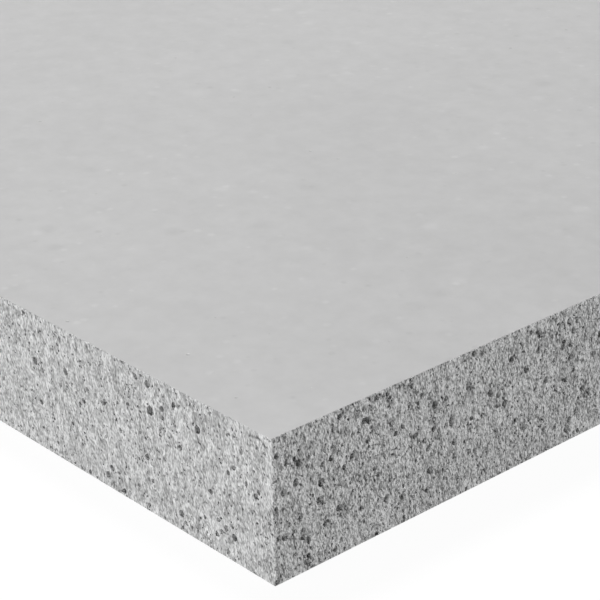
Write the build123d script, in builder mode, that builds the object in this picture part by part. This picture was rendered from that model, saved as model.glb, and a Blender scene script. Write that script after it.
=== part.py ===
"""Drywall sheet: one full board of aerated, fibre-reinforced gypsum, lying face up.

The sheet's four edges are sawn square, so the section is a plain rectangle from edge to edge. A saw and
the first handling leave each arris slightly blunt, and an upright corner a little blunter than the rest.

Frame, in millimetres: the origin is the centre of the underside, +X runs along the length, +Y across the
width and +Z up out of the face.
"""

import os

from build123d import *

# Driving dimensions
LENGTH = 2400.0
WIDTH = 1200.0
THICKNESS = 12.5
ARRIS_RADIUS = 0.06
CORNER_RADIUS = 0.1

os.makedirs("parts", exist_ok=True)

# The outline seen from above, with its corners blunted, is drawn up through the thickness.
with BuildPart() as gypsum_board:
    with BuildSketch(Plane.XY) as outline:
        Rectangle(LENGTH, WIDTH)
        fillet(outline.vertices(), radius=CORNER_RADIUS)
    extrude(amount=THICKNESS)

    # The arrises run all round the face and all round the back.
    face_arrises = gypsum_board.faces().sort_by(Axis.Z)[-1].edges()
    back_arrises = gypsum_board.faces().sort_by(Axis.Z)[0].edges()
    fillet(face_arrises + back_arrises, radius=ARRIS_RADIUS)

gypsum_board.part.label = "gypsum_board"
export_step(gypsum_board.part, "parts/gypsum_board.step")
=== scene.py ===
"""Dresses one gypsum drywall sheet: smooth pale faces, and sawn edges of aerated core full of round voids.

The sheet is a single board. Its looks are carried by five meshes that abut exactly, a plate and four edge
bars, so that each stays light and each edge has a map of its own. All lengths are metres in the CAD frame:
the origin is the centre of the underside, +X runs along the length, +Y across the width and +Z up.
"""

from __future__ import annotations

import logging
import math
from dataclasses import dataclass, field
from enum import Enum
from typing import Any, Iterable, Sequence

import bmesh
import bpy
import numpy as np
from bpy.types import ID, Material, Mesh, Node, NodeSocket, NodeTree, Object
from mathutils import Matrix, Vector

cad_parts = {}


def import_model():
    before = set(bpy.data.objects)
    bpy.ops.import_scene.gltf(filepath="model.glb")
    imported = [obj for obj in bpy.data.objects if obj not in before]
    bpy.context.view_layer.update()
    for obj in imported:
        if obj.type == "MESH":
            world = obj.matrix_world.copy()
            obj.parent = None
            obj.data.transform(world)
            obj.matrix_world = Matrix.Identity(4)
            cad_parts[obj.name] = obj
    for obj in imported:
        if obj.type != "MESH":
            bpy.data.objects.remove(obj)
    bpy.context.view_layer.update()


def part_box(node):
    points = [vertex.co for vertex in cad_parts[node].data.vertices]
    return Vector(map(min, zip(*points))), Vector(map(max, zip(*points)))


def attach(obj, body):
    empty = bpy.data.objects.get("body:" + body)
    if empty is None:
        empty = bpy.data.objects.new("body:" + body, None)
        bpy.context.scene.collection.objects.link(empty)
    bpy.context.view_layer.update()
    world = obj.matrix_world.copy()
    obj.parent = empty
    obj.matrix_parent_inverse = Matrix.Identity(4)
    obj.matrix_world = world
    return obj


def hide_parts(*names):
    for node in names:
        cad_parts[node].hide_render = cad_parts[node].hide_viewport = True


log = logging.getLogger("drywall_sheet")

MM = 0.001
NODE = "gypsum_board"
BODY = "root"
BAKE_MAP = "OFBake"
SEED = 4
TOUCH = 2e-6  # closer than this, in metres, a point counts as lying in a plane
SHARP = math.radians(38)  # a sharper fold than this is shaded as an edge
ROUND_STEPS = 3  # facets to a blunted arris, and to half of a rounded corner
BAR_DEPTH = 3.0 * MM  # how far in from its edge a bar reaches
LONG_ROWS, END_ROWS = 10, 8  # strips on the bake map of a long edge and of a short one


class Side(Enum):
    """The four sawn edges, by the way each one faces."""

    FRONT = (0, -1)
    REAR = (0, 1)
    LEFT = (-1, 0)
    RIGHT = (1, 0)

    @property
    def outward(self) -> Vector:
        """The direction the edge faces."""
        return Vector((*self.value, 0.0))

    @property
    def along(self) -> Vector:
        """The direction of the edge's run, with the board's inside on its left."""
        return Vector((-self.value[1], self.value[0], 0.0))

    @property
    def is_long(self) -> bool:
        """Whether the edge runs along the board's length."""
        return self.value[0] == 0


class Ease(Enum):
    """How a value passes between two limits."""

    LINEAR = "LINEAR"
    SMOOTH = "SMOOTHSTEP"


# Node and mesh helpers


class Graph:
    """A node tree, with short calls that add a node, set it up and link it."""

    def __init__(self, tree: NodeTree) -> None:
        """Takes the tree that the nodes go into."""
        self.tree = tree

    def node(
        self, kind: str, settings: dict[str, Any] | None = None, inputs: dict[str | int, Any] | None = None
    ) -> Node:
        """Adds one node.

        Args:
            kind: the node's type.
            settings: attributes to set on it.
            inputs: for each input, by name or number, a value, a socket, or a list of sockets.

        Returns:
            The new node.
        """
        made = self.tree.nodes.new(kind)
        for name, value in (settings or {}).items():
            setattr(made, name, value)
        for key, value in (inputs or {}).items():
            self.feed(made.inputs[key], value)
        return made

    def feed(self, socket: NodeSocket, value: Any) -> None:
        """Links a socket or each of a list of sockets into an input, or sets the input's value.

        Args:
            socket: the input.
            value: a value, a socket, or a list of sockets.
        """
        if isinstance(value, (NodeSocket, list)):
            for one in value if isinstance(value, list) else [value]:
                self.tree.links.new(one, socket)
        else:
            socket.default_value = value

    def math(self, operation: str, *values: Any) -> NodeSocket:
        """Works out a number from one to three others.

        Args:
            operation: the Math node's operation.
            values: its inputs, as numbers or sockets.

        Returns:
            The answer's socket.
        """
        return self.node("ShaderNodeMath", {"operation": operation}, dict(enumerate(values))).outputs[0]

    def vector(self, operation: str, *values: Any) -> NodeSocket:
        """Works out a vector, or for DISTANCE and DOT_PRODUCT a number, from vectors.

        Args:
            operation: the Vector Math node's operation.
            values: its inputs, as triples, numbers or sockets.

        Returns:
            The answer's socket.
        """
        inputs: dict[str | int, Any] = dict(enumerate(values))
        if operation == "SCALE":
            inputs = {0: values[0], "Scale": values[1]}
        made = self.node("ShaderNodeVectorMath", {"operation": operation}, inputs)
        return made.outputs["Value" if operation in ("DISTANCE", "DOT_PRODUCT") else "Vector"]

    def fit(
        self, value: Any, low: Any, high: Any, out: tuple[Any, Any] = (0.0, 1.0), ease: Ease = Ease.LINEAR
    ) -> NodeSocket:
        """Carries a number from one range to another and holds it there.

        Args:
            value: the number's socket.
            low: where the first range begins.
            high: where it ends.
            out: the second range.
            ease: how the number passes between the limits.

        Returns:
            The new number's socket.
        """
        inputs = {"Value": value, "From Min": low, "From Max": high, "To Min": out[0], "To Max": out[1]}
        return self.node("ShaderNodeMapRange", {"interpolation_type": ease.value}, inputs).outputs["Result"]

    def blend(self, base: Any, *terms: tuple[Any, float]) -> NodeSocket:
        """Adds terms to a number, each a socket and its strength.

        Args:
            base: the number.
            terms: pairs of a socket and what it is multiplied by.

        Returns:
            The sum's socket.
        """
        for term, strength in terms:
            base = self.math("MULTIPLY_ADD", term, strength, base)
        return base

    def parts(self, vector: Any) -> Any:
        """Takes a vector apart into the outputs X, Y and Z."""
        return self.node("ShaderNodeSeparateXYZ", None, {0: vector}).outputs

    def join(self, x: Any, y: Any, z: Any) -> NodeSocket:
        """Puts a vector together from three numbers."""
        return self.node("ShaderNodeCombineXYZ", None, {"X": x, "Y": y, "Z": z}).outputs[0]

    def noise(self, place: Any, scale: float, detail: float = 0.0, roughness: float = 0.55) -> NodeSocket:
        """Adds a soft noise, about 0.5 on average.

        Args:
            place: where on the board.
            scale: how many waves there are to a unit of that place.
            detail: how many finer waves it carries.
            roughness: how strong the finer waves are.

        Returns:
            The noise.
        """
        inputs = {"Vector": place, "Scale": scale, "Detail": detail, "Roughness": roughness}
        return self.node("ShaderNodeTexNoise", {"noise_dimensions": "3D"}, inputs).outputs[0]

    def balls(self, place: Any, per_mm: float) -> tuple[NodeSocket, NodeSocket, NodeSocket]:
        """Scatters ball centres through the board.

        Args:
            place: where on the board, in millimetres.
            per_mm: how many balls there are to a millimetre.

        Returns:
            The distance to the nearest centre in millimetres, and two random numbers for that ball.
        """
        inputs = {"Vector": place, "Scale": per_mm, "Randomness": 1.0}
        made = self.node("ShaderNodeTexVoronoi", {"voronoi_dimensions": "3D", "feature": "F1"}, inputs)
        chance = self.node("ShaderNodeSeparateColor", None, {"Color": made.outputs["Color"]}).outputs
        return self.math("DIVIDE", made.outputs["Distance"], per_mm), chance["Red"], chance["Green"]

    def seen(self) -> NodeSocket:
        """1 for rays from the camera, straight, mirrored or let through, and 0 for all other light.

        Returns:
            The share.
        """
        ray = self.node("ShaderNodeLightPath").outputs
        seen = self.math("MAXIMUM", ray["Is Camera Ray"], ray["Is Glossy Ray"])
        return self.math("MAXIMUM", seen, ray["Is Transmission Ray"])

    def surface(
        self, tone: NodeSocket, tint: tuple[float, float, float], height: NodeSocket, rough: float, level: float
    ) -> None:
        """Ends a material's tree in a surface.

        Args:
            tone: how pale the surface is.
            tint: what red, green and blue are multiplied by.
            height: how high a point stands, in millimetres.
            rough: how matt the surface is.
            level: how strongly it reflects.
        """
        colour = {axis: self.math("MULTIPLY", tone, t) for axis, t in zip(("Red", "Green", "Blue"), tint)}
        normal = self.node("ShaderNodeBump", None, {"Strength": 1.0, "Distance": MM, "Height": height})
        skin = self.node("ShaderNodeBsdfPrincipled", None, {
            "Base Color": self.node("ShaderNodeCombineColor", None, colour).outputs["Color"],
            "Roughness": rough, "Specular IOR Level": level, "Normal": normal.outputs["Normal"]})
        self.feed(self.node("ShaderNodeOutputMaterial").inputs["Surface"], skin.outputs["BSDF"])

    def here(self) -> NodeSocket:
        """Where a point of the geometry lies."""
        return self.node("GeometryNodeInputPosition").outputs[0]

    def named(self, name: str, kind: str = "FLOAT") -> NodeSocket:
        """Reads an attribute of the geometry."""
        return self.node("GeometryNodeInputNamedAttribute", {"data_type": kind}, {"Name": name}).outputs[0]

    def draw(self, seed: Any, most: float = 1.0) -> NodeSocket:
        """Draws a random number between 0 and the most for each point."""
        made = self.node("FunctionNodeRandomValue", {"data_type": "FLOAT"}, {3: most, "Seed": seed})
        return made.outputs[1]

    def draw_shape(self, low: Sequence[float], high: Sequence[float], seed: int) -> NodeSocket:
        """Draws a random vector between two others for each point."""
        inputs = {0: low, 1: high, "Seed": seed}
        return self.node("FunctionNodeRandomValue", {"data_type": "FLOAT_VECTOR"}, inputs).outputs[0]

    def boolean(self, operation: str, second: Any, first: NodeSocket | None = None) -> NodeSocket:
        """Joins closed meshes, or cuts the second out of the first.

        Args:
            operation: UNION, INTERSECT or DIFFERENCE.
            second: the mesh or meshes that are joined or cut out.
            first: the mesh they are cut out of.

        Returns:
            The new mesh.
        """
        inputs = {"Mesh 2": second} if first is None else {"Mesh 1": first, "Mesh 2": second}
        setup = {"operation": operation, "solver": "MANIFOLD"}
        return self.node("GeometryNodeMeshBoolean", setup, inputs).outputs["Mesh"]


def read_points(mesh: Mesh) -> np.ndarray:
    """Reads a mesh's points.

    Args:
        mesh: the mesh.

    Returns:
        The points, one to a row.
    """
    points = np.empty(len(mesh.vertices) * 3, np.float32)
    mesh.vertices.foreach_get("co", points)
    return points.reshape(-1, 3)


def read_corners(mesh: Mesh) -> np.ndarray:
    """Reads which points a mesh's triangles join.

    Args:
        mesh: the mesh, all in triangles.

    Returns:
        The numbers of each triangle's three points.
    """
    corners = np.empty(len(mesh.loops), np.int32)
    mesh.loops.foreach_get("vertex_index", corners)
    return corners.reshape(-1, 3)


def write_value(mesh: Mesh, name: str, values: np.ndarray) -> None:
    """Keeps a number for each point of a mesh."""
    mesh.attributes.new(name, "FLOAT", "POINT").data.foreach_set("value", np.asarray(values, np.float32))


def write_map(mesh: Mesh, u: np.ndarray, v: np.ndarray) -> None:
    """Writes the bake map, for each triangle's three corners."""
    layer = mesh.uv_layers.get(BAKE_MAP) or mesh.uv_layers.new(name=BAKE_MAP)
    layer.uv.foreach_set("vector", np.stack([u, v], 2).astype(np.float32).ravel())


def shade(mesh: Mesh, flat: np.ndarray) -> None:
    """Shades a mesh smooth between its folds, apart from its flat polygons."""
    mesh.set_sharp_from_angle(angle=SHARP)
    mesh.polygons.foreach_set("use_smooth", ~flat)


def add_object(name: str, data: ID) -> Object:
    """Puts a mesh, a light or a camera into the scene.

    Args:
        name: the object's name.
        data: what the object shows.

    Returns:
        The object.
    """
    made = bpy.data.objects.new(name, data)
    bpy.context.scene.collection.objects.link(made)
    return made


# Finishes


class Finish:
    """A procedural material. Each kind of finish fills in its own tree."""

    name: str

    def build(self) -> Material:
        """Makes the material.

        Returns:
            The finished material.
        """
        made = bpy.data.materials.new(self.name)
        made.use_nodes = True
        made.node_tree.nodes.clear()
        self._fill(Graph(made.node_tree))
        return made

    def _fill(self, g: Graph) -> None:
        """Fills in the tree."""
        raise NotImplementedError

    @staticmethod
    def _place(g: Graph) -> NodeSocket:
        """Where on the board, in millimetres."""
        return g.vector("SCALE", g.node("ShaderNodeTexCoord").outputs["Object"], 1 / MM)


@dataclass(frozen=True)
class Dots:
    """Small balls of mixed sizes: their strength, how many to a millimetre, their radius and their length."""

    strength: float
    per_mm: float
    radius: float
    stretch: float = 1.0


@dataclass(frozen=True)
class CoreFinish(Finish):
    """Bare aerated gypsum as the saw leaves it: crumbs, closed cells, pores and upright glass slivers.

    Every pattern is a field in space, so it runs on round the corners and into the voids. Lengths are in
    millimetres, and strengths are shares of the tone. The crumbs are triples of waves to a millimetre, strength
    and height. The pores' dark dots are painted shade, for the shade inside holes too small to cut, and points
    that lie below the outer surface get painted shade that deepens with their depth.
    """

    name: str = "aerated_core"
    tone: float = 0.665
    tint: tuple[float, float, float] = (0.996, 1.001, 1.001)
    upright: tuple[float, float, float] = (-0.15, -0.2, 0.968)
    stretch: float = 2.9
    bump_stretch: float = 1.6
    crumbs: tuple[tuple[float, float, float], ...] = (
        (0.4, 0.2, 0.15), (1.2, 0.31, 0.45), (2.6, 0.58, 0.57), (5.0, 0.95, 0.7), (9.5, 1.4, 0.72),
    )
    patch: float = 0.1
    patch_per_mm: float = 0.35
    cell: float = 0.22
    cell_calm: float = 0.6
    cell_rim: float = 0.10
    cell_per_mm: float = 0.8
    cell_radius: float = 0.46
    # pore: dark dots painted as the shade inside pores too small to cut, with a small dip in the bump
    pore: Dots = Dots(0.4, 2.3, 0.15)
    sliver: Dots = Dots(0.35, 0.75, 0.13, 5.0)
    stroke: Dots = Dots(0.6, 1.6, 0.13, 3.0)
    pore_depth: float = 0.04
    cell_depth: float = 0.02
    # painted shade in recesses: how dark points get below the outer surface, and the depths in mm over which it grows
    gloom: float = 0.58
    gloom_depths: tuple[float, float] = (0.03, 0.19)
    darkest: float = 0.05
    palest: float = 0.95
    cell_soft: float = 0.06
    dot_soft: float = 0.04
    roughness: float = 0.92
    sheen: float = 0.25

    def _fill(self, g: Graph) -> None:
        """Draws the patterns and joins them in one surface.

        Args:
            g: the tree.
        """
        place = self._place(g)
        drawn, bumps = (self._squeeze(g, place, times) for times in (self.stretch, self.bump_stretch))
        crumb, height = self._crumbs(g, drawn, bumps)
        inside, rim = self._cells(g, place)
        patch = g.fit(g.noise(place, self.patch_per_mm), 0.3, 0.7, (1.0 - self.patch, 1.0 + self.patch))
        crumb = g.math("MULTIPLY", crumb, patch)
        crumb = g.math("MULTIPLY", crumb, g.fit(inside, 0.0, 1.0, (1.0, self.cell_calm)))
        pore, sliver, stroke = (self._dots(g, place, dots) for dots in (self.pore, self.sliver, self.stroke))
        sunk = g.node("ShaderNodeAttribute", {"attribute_name": "sunk"}).outputs["Fac"]

        lift = g.blend(g.math("ADD", crumb, 1.0), (inside, -self.cell), (rim, self.cell_rim),
                       (sliver, self.sliver.strength), (stroke, self.stroke.strength))
        # painted shade: the pore dots darken as if shaded inside, and points below the outer surface darken with their
        # sunk depth
        shade = g.fit(pore, 0.0, 1.0, (1.0, 1.0 - self.pore.strength))
        shade = g.math("MULTIPLY", shade, g.fit(sunk, *self.gloom_depths, (1.0, self.gloom)))
        tone = g.math("MULTIPLY", g.math("MULTIPLY", lift, shade), self.tone)
        tone = g.math("MINIMUM", g.math("MAXIMUM", tone, self.darkest), self.palest)
        height = g.blend(height, (pore, -self.pore_depth), (inside, -self.cell_depth))
        g.surface(tone, self.tint, height, self.roughness, self.sheen)

    def _crumbs(self, g: Graph, drawn: NodeSocket, bumps: NodeSocket) -> tuple[NodeSocket, NodeSocket]:
        """Adds crumbs of several sizes: pale and dark grains drawn out upright, on rounder bumps.

        Args:
            g: the tree.
            drawn: where on the board, squeezed so that grains come out upright.
            bumps: where on the board, squeezed less.

        Returns:
            How much paler a point is, and how high it stands in millimetres.
        """
        pale: Any = 0.0
        height: Any = 0.0
        for per_mm, strength, rise in self.crumbs:
            wave, bump = (g.math("SUBTRACT", g.noise(place, per_mm), 0.5) for place in (drawn, bumps))
            pale = g.blend(pale, (wave, strength))
            height = g.blend(height, (bump, rise / per_mm))
        return pale, height

    def _squeeze(self, g: Graph, place: NodeSocket, times: float) -> NodeSocket:
        """Squeezes space along the way that the grain stands, which draws a pattern out along it.

        Args:
            g: the tree.
            place: where on the board.
            times: how many times as long a pattern becomes.

        Returns:
            The squeezed place.
        """
        rise = g.vector("DOT_PRODUCT", place, self.upright)
        step = g.vector("SCALE", self.upright, g.math("MULTIPLY", rise, 1 - 1 / times))
        return g.vector("SUBTRACT", place, step)

    def _cells(self, g: Graph, place: NodeSocket) -> tuple[NodeSocket, NodeSocket]:
        """Adds closed cells that the saw has shaved.

        Args:
            g: the tree.
            place: where on the board, in millimetres.

        Returns:
            How much a point is inside a cell, and how much it is on a cell's paler rim.
        """
        far, chance, other = g.balls(place, self.cell_per_mm)
        size = g.fit(chance, 0.35, 1.0, (0.0, self.cell_radius))
        depth = g.math("SUBTRACT", size, far)
        inside = g.fit(depth, 0.0, self.cell_soft, ease=Ease.SMOOTH)
        inside = g.math("MULTIPLY", inside, g.fit(other, 0.0, 0.8, (0.2, 1.0)))
        rim = g.fit(g.math("ABSOLUTE", depth), 0.0, self.cell_soft, (1.0, 0.0))
        return inside, g.math("MULTIPLY", rim, g.fit(size, 0.05, 0.2))

    def _dots(self, g: Graph, place: NodeSocket, dots: Dots) -> NodeSocket:
        """Adds small balls of mixed sizes.

        Args:
            g: the tree.
            place: where on the board, in millimetres.
            dots: the balls.

        Returns:
            1 inside a ball and 0 outside.
        """
        far, chance, other = g.balls(self._squeeze(g, place, dots.stretch), dots.per_mm)
        size = g.fit(chance, 0.4, 1.0, (0.0, dots.radius))
        ball = g.fit(g.math("SUBTRACT", size, far), 0.0, self.dot_soft, ease=Ease.SMOOTH)
        return g.math("MULTIPLY", ball, g.fit(other, 0.0, 1.0, (0.4, 1.0)))


# The core as it looks along a long edge, and a copy of it for the short ends. The copy's paler tone, stronger crumb
# grain and darker cells and pore dots are painted light and shade, standing in for the stronger relief shading the
# lamps give the short ends; its bumps are rounder.
LONG_CORE = CoreFinish("aerated_core_along")
END_CORE_WITH_PAINTED_LIGHT = CoreFinish(
    "aerated_core_across", tone=0.715, bump_stretch=1.0, cell=0.31, pore=Dots(0.44, 2.3, 0.15),
    crumbs=((0.4, 0.2, 0.15), (1.2, 0.38, 0.5), (2.6, 0.68, 0.63), (5.0, 1.08, 0.76), (9.5, 2.05, 0.76)),
)


@dataclass(frozen=True)
class FaceFinish(Finish):
    """The smooth pale face: faint spots in clusters, a few pinpoint specks and hairline scuffs.

    Each noise is waves to a millimetre, detail and roughness. Each family of spots is strength, count to a
    millimetre, radius and softness. Each family of scuffs is a turn from +X in degrees and a shift.
    """

    name: str = "pale_face"
    tone: float = 0.47
    tint: tuple[float, float, float] = (1.003, 1.0, 1.0)
    fine: float = 0.09
    smudge: float = 0.18
    cluster: float = 0.12
    broad: float = 0.10
    noises: tuple[tuple[float, float, float], ...] = (
        (1.1, 2.0, 0.6), (0.42, 2.0, 0.5), (0.045, 2.0, 0.5), (0.006, 3.0, 0.55),
    )
    spots: tuple[tuple[float, float, float, float], ...] = (
        (0.10, 0.62, 0.55, 0.4), (0.10, 0.3, 1.2, 0.9), (-0.10, 0.55, 0.5, 0.4), (-0.07, 0.23, 1.5, 1.0),
    )
    scuff: float = 0.07
    scuffs: tuple[tuple[float, float], ...] = ((17.0, 0.0), (74.0, 31.0), (131.0, 67.0))
    speck: tuple[float, float, float, float] = (0.25, 0.34, 0.26, 0.1)
    speck_depth: float = 0.03
    scuff_per_mm: float = 0.12
    scuff_squash: float = 0.035
    scuff_width: float = 0.02
    roughness: float = 0.38
    sheen: float = 0.65
    bump: float = 0.006

    def _fill(self, g: Graph) -> None:
        """Draws the patterns and joins them in one surface.

        Args:
            g: the tree.
        """
        place = self._place(g)
        fine, smudge, cluster, broad = (g.noise(place, *noise) for noise in self.noises)
        crowd = g.fit(cluster, 0.35, 0.6, (0.35, 1.0))
        speck = self._spots(g, place, *self.speck[1:])
        lift = g.math("MULTIPLY", g.math("SUBTRACT", fine, 0.5), self.fine)
        lift = g.blend(lift, (g.math("SUBTRACT", smudge, 0.5), self.smudge))
        for strength, *spots in self.spots:
            lift = g.blend(lift, (g.math("MULTIPLY", self._spots(g, place, *spots), crowd), strength))
        for field_, strength in ((cluster, self.cluster), (broad, self.broad)):
            lift = g.blend(lift, (g.math("SUBTRACT", field_, 0.5), strength))
        for turn, shift in self.scuffs:
            lift = g.blend(lift, (self._scuffs(g, place, turn, shift), self.scuff))
        lift = g.blend(lift, (speck, -self.speck[0]))
        tone = g.math("MULTIPLY", g.math("ADD", lift, 1.0), self.tone)
        height = g.math("MULTIPLY", g.math("ADD", fine, smudge), self.bump)
        height = g.blend(height, (speck, -self.speck_depth))
        g.surface(tone, self.tint, height, self.roughness, self.sheen)

    @staticmethod
    def _spots(g: Graph, place: NodeSocket, per_mm: float, radius: float, soft: float) -> NodeSocket:
        """Adds soft round spots of mixed sizes.

        Args:
            g: the tree.
            place: where on the board, in millimetres.
            per_mm: how many spots there are to a millimetre.
            radius: the largest spot's radius.
            soft: how far a spot fades at its rim.

        Returns:
            1 inside a spot and 0 outside.
        """
        far, chance, _ = g.balls(place, per_mm)
        size = g.fit(chance, 0.3, 1.0, (0.0, radius))
        return g.fit(g.math("SUBTRACT", size, far), 0.0, soft, ease=Ease.SMOOTH)

    def _scuffs(self, g: Graph, place: NodeSocket, turn: float, shift: float) -> NodeSocket:
        """Adds long hairline scuffs that lie one way.

        Args:
            g: the tree.
            place: where on the board, in millimetres.
            turn: which way the scuffs lie, in degrees from +X.
            shift: a step that sets this family apart from the others, in millimetres.

        Returns:
            1 on a scuff and 0 elsewhere.
        """
        turned = g.node("ShaderNodeMapping", {"vector_type": "POINT"}, {
            "Vector": place, "Location": (shift, shift, 0.0), "Rotation": (0.0, 0.0, math.radians(turn)),
            "Scale": (self.scuff_squash, 1.0, 1.0)}).outputs["Vector"]
        far, _, _ = g.balls(turned, self.scuff_per_mm)
        return g.fit(far, 0.0, self.scuff_width / self.scuff_per_mm, (1.0, 0.0))


@dataclass(frozen=True)
class FloorFinish(Finish):
    """A white studio floor that keeps a faint shadow of the board."""

    name: str = "studio_white"
    seen: float = 0.945
    bounce: float = 0.30
    lit: float = 0.10

    def _fill(self, g: Graph) -> None:
        """Adds a glow to a plain dark matt.

        Args:
            g: the tree.
        """
        matt = g.node("ShaderNodeBsdfDiffuse", None, {"Color": (self.lit, self.lit, self.lit, 1.0)})
        glow = g.node("ShaderNodeEmission", None, {
            "Color": (1.0, 1.0, 1.0, 1.0), "Strength": g.fit(g.seen(), 0.0, 1.0, (self.bounce, self.seen))})
        both = g.node("ShaderNodeAddShader", None, {0: matt.outputs[0], 1: glow.outputs[0]})
        g.feed(g.node("ShaderNodeOutputMaterial").inputs["Surface"], both.outputs[0])


# The board


@dataclass(frozen=True)
class BoardSize:
    """The board's outside sizes, and how blunt its arrises and upright corners are."""

    length: float
    width: float
    thickness: float
    arris: float = 0.06 * MM
    corner: float = 0.10 * MM

    @classmethod
    def from_box(cls, low: Vector, high: Vector) -> BoardSize:
        """Takes the sizes from the CAD board's lowest and highest corners."""
        return cls(*(high - low))

    def outline(self, inset: float) -> tuple[float, float]:
        """Half the length and half the width, less an inset."""
        return self.length / 2 - inset, self.width / 2 - inset

    def near_corner(self, height: float) -> Vector:
        """The corner that the camera stands at, at some height."""
        return Vector((self.length / 2, -self.width / 2, height))


@dataclass(frozen=True)
class Ball:
    """How the balls of one family are made.

    Its seed is a step from the tree's, so that families differ. Its level is how finely a ball is divided. Its
    depth and how far its centre stands out of the surface are in radii.
    """

    step: int
    level: int
    depth: float
    lift: float = 0.0


class Family(Enum):
    """The families of balls that are cut out."""

    VOID = Ball(11, 2, 1.7)
    PORE = Ball(23, 1, 1.3, -0.35)
    CELL = Ball(31, 3, 1.0, 0.8)
    CHIP = Ball(37, 2, 1.0, 0.3)
    PINHOLE = Ball(41, 2, 0.7, 0.72)

    @property
    def title(self) -> str:
        """How the tree's inputs name the family."""
        return self.name.capitalize()


@dataclass(frozen=True)
class Sowing:
    """How thickly one family is sown, in counts to a square metre, and its radii in metres."""

    close: float
    far: float
    smallest: float
    largest: float


@dataclass(frozen=True)
class VoidPlan:
    """How each family is sown, close to the near corner and over the rest of the board.

    The reach is how far close goes, and the fade is how far it takes to thin out. The skin over the voids stays
    whole, and the crumb is how deep the sawn face may sink.
    """

    void: Sowing = Sowing(0.10e6, 0.02e6, 0.12 * MM, 0.34 * MM)
    pore: Sowing = Sowing(2.4e6, 0.0, 0.065 * MM, 0.16 * MM)
    cell: Sowing = Sowing(0.03e6, 0.0, 0.45 * MM, 0.85 * MM)
    chip: Sowing = Sowing(8e6, 1.6e6, 0.04 * MM, 0.11 * MM)
    pinhole: Sowing = Sowing(0.02e6, 0.00006e6, 0.07 * MM, 0.19 * MM)
    reach: float = 38 * MM
    fade: float = 12 * MM
    skin: float = 0.06 * MM
    crumb: float = 0.07 * MM

    def values(self, families: Iterable[Family], more: dict[Family, float]) -> dict[str, float]:
        """What a tree's inputs are set to.

        Args:
            families: the families that the tree cuts.
            more: how many times as thickly some of them are sown close to the near corner.

        Returns:
            The values by the names of the inputs.
        """
        made = {"Reach": self.reach, "Fade": self.fade}
        for family in families:
            sown = getattr(self, family.name.lower())
            made[family.title + " Close"] = sown.close * more.get(family, 1.0)
            made[family.title + " Far"] = sown.far
            made[family.title + " Smallest"] = sown.smallest
            made[family.title + " Largest"] = sown.largest
        return made


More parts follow.
